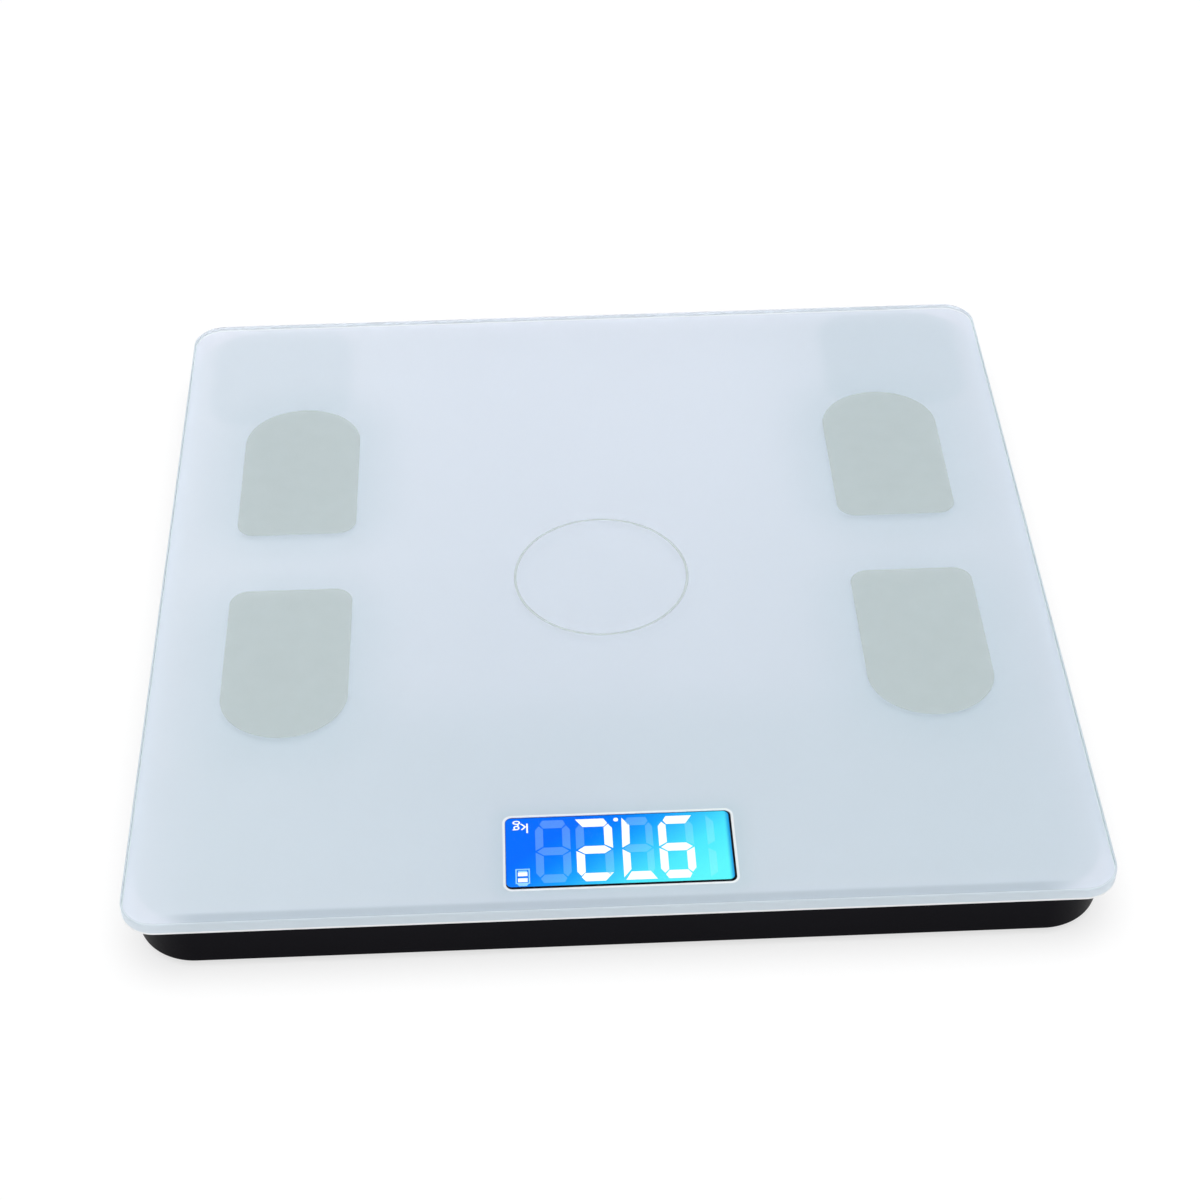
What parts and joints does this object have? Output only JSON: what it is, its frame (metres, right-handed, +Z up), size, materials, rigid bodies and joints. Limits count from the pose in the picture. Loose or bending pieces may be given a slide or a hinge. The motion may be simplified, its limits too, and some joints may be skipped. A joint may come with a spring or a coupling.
{
  "type": "digital bathroom scale",
  "caption": "Square glass platform bathroom scale on a shallow black tray, with conductive foot electrodes, a centre ring, a backlit display window and load-cell feet.",
  "frame": {"origin": "on the ground under the middle of the platform", "axes": "+Z up out of the glass, +Y towards the display edge, +X to the right of the upright display"},
  "size_m": [0.26, 0.26, 0.02],
  "materials": {
    "glass": "polished toughened glass with ground edges",
    "white_print": "pale cool-white screen-printed ink behind the glass",
    "electrode_coating": "transparent grey-green conductive coating",
    "gasket_foam": "black foam adhesive tape",
    "black_plastic": "black moulded plastic with a fine satin grain",
    "grey_plastic": "dark grey moulded plastic",
    "rubber": "black rubber, matt",
    "steel": "stamped steel, satin",
    "spring_steel": "nickel-plated steel",
    "battery_sleeve": "plain printed cell sleeve",
    "circuit_board": "green solder mask",
    "epoxy": "black moulding compound",
    "lcd_face": "backlit blue liquid-crystal display with white segments",
    "light_guide": "clear acrylic light guide",
    "led": "light-emitting diode body",
    "elastomer": "striped conductive elastomer",
    "cable_grey": "grey insulated cable",
    "lead_white": "white insulated wire",
    "lead_red": "red insulated wire",
    "lead_black": "black insulated wire"
  },
  "bodies": {
    "housing": {"glass_platform": "glass", "printed_backing": "white_print", "centre_ring": "electrode_coating", "electrode_front_left": "electrode_coating", "electrode_front_right": "electrode_coating", "electrode_rear_left": "electrode_coating", "electrode_rear_right": "electrode_coating", "adhesive_gasket": "gasket_foam", "base_tray": "black_plastic", "lcd_frame": "black_plastic", "load_cell_seat_front_left": "grey_plastic", "load_cell_seat_front_right": "grey_plastic", "load_cell_seat_rear_left": "grey_plastic", "load_cell_seat_rear_right": "grey_plastic", "wireless_module": "steel", "crystal": "steel", "load_cell_front_left": "steel", "load_cell_front_right": "steel", "load_cell_rear_left": "steel", "load_cell_rear_right": "steel", "battery_contact_1": "spring_steel", "battery_contact_2": "spring_steel", "battery_spring_1": "spring_steel", "battery_spring_2": "spring_steel", "board_screw_1": "spring_steel", "board_screw_2": "spring_steel", "board_screw_3": "spring_steel", "board_screw_4": "spring_steel", "battery_cell_1": "battery_sleeve", "battery_cell_2": "battery_sleeve", "main_board": "circuit_board", "processor_blob": "epoxy", "converter_chip": "epoxy", "capacitor": "epoxy", "unit_switch": "epoxy", "lcd_panel": "lcd_face", "backlight_guide": "light_guide", "backlight_led": "led", "connector_strip_front": "elastomer", "connector_strip_rear": "elastomer", "load_cell_cable_front_left": "cable_grey", "load_cell_cable_front_right": "cable_grey", "load_cell_cable_rear_left": "cable_grey", "load_cell_cable_rear_right": "cable_grey", "electrode_lead_front_left": "lead_white", "electrode_lead_front_right": "lead_white", "electrode_lead_rear_left": "lead_white", "electrode_lead_rear_right": "lead_white", "power_lead_positive": "lead_red", "power_lead_negative": "lead_black"},
    "battery_door": {"battery_door": "black_plastic"},
    "unit_button": {"unit_button": "grey_plastic"},
    "foot_front_left": {"foot_cup_front_left": "black_plastic", "foot_pad_front_left": "rubber"},
    "foot_front_right": {"foot_cup_front_right": "black_plastic", "foot_pad_front_right": "rubber"},
    "foot_rear_left": {"foot_cup_rear_left": "black_plastic", "foot_pad_rear_left": "rubber"},
    "foot_rear_right": {"foot_cup_rear_right": "black_plastic", "foot_pad_rear_right": "rubber"}
  },
  "joints": [
    {"name": "foot_travel_front_left", "type": "slide", "parent": "housing", "child": "foot_front_left", "axis": [0, 0, 1], "range_m": [0, 0.0006], "stiffness_N_per_m": 1500, "springref_m": -0.0018},
    {"name": "foot_travel_front_right", "type": "slide", "parent": "housing", "child": "foot_front_right", "axis": [0, 0, 1], "range_m": [0, 0.0006], "stiffness_N_per_m": 1500, "springref_m": -0.0018},
    {"name": "foot_travel_rear_left", "type": "slide", "parent": "housing", "child": "foot_rear_left", "axis": [0, 0, 1], "range_m": [0, 0.0006], "stiffness_N_per_m": 1500, "springref_m": -0.0018},
    {"name": "foot_travel_rear_right", "type": "slide", "parent": "housing", "child": "foot_rear_right", "axis": [0, 0, 1], "range_m": [0, 0.0006], "stiffness_N_per_m": 1500, "springref_m": -0.0018},
    {"name": "battery_door_hinge", "type": "hinge", "parent": "housing", "child": "battery_door", "pos_m": [-0.029, 0.02, 0.0024], "axis": [0, 1, 0], "range_deg": [0, 100]},
    {"name": "unit_button_press", "type": "slide", "parent": "housing", "child": "unit_button", "axis": [0, 0, 1], "range_m": [0, 0.0005], "stiffness_N_per_m": 600, "springref_m": -0.0002}
  ]
}
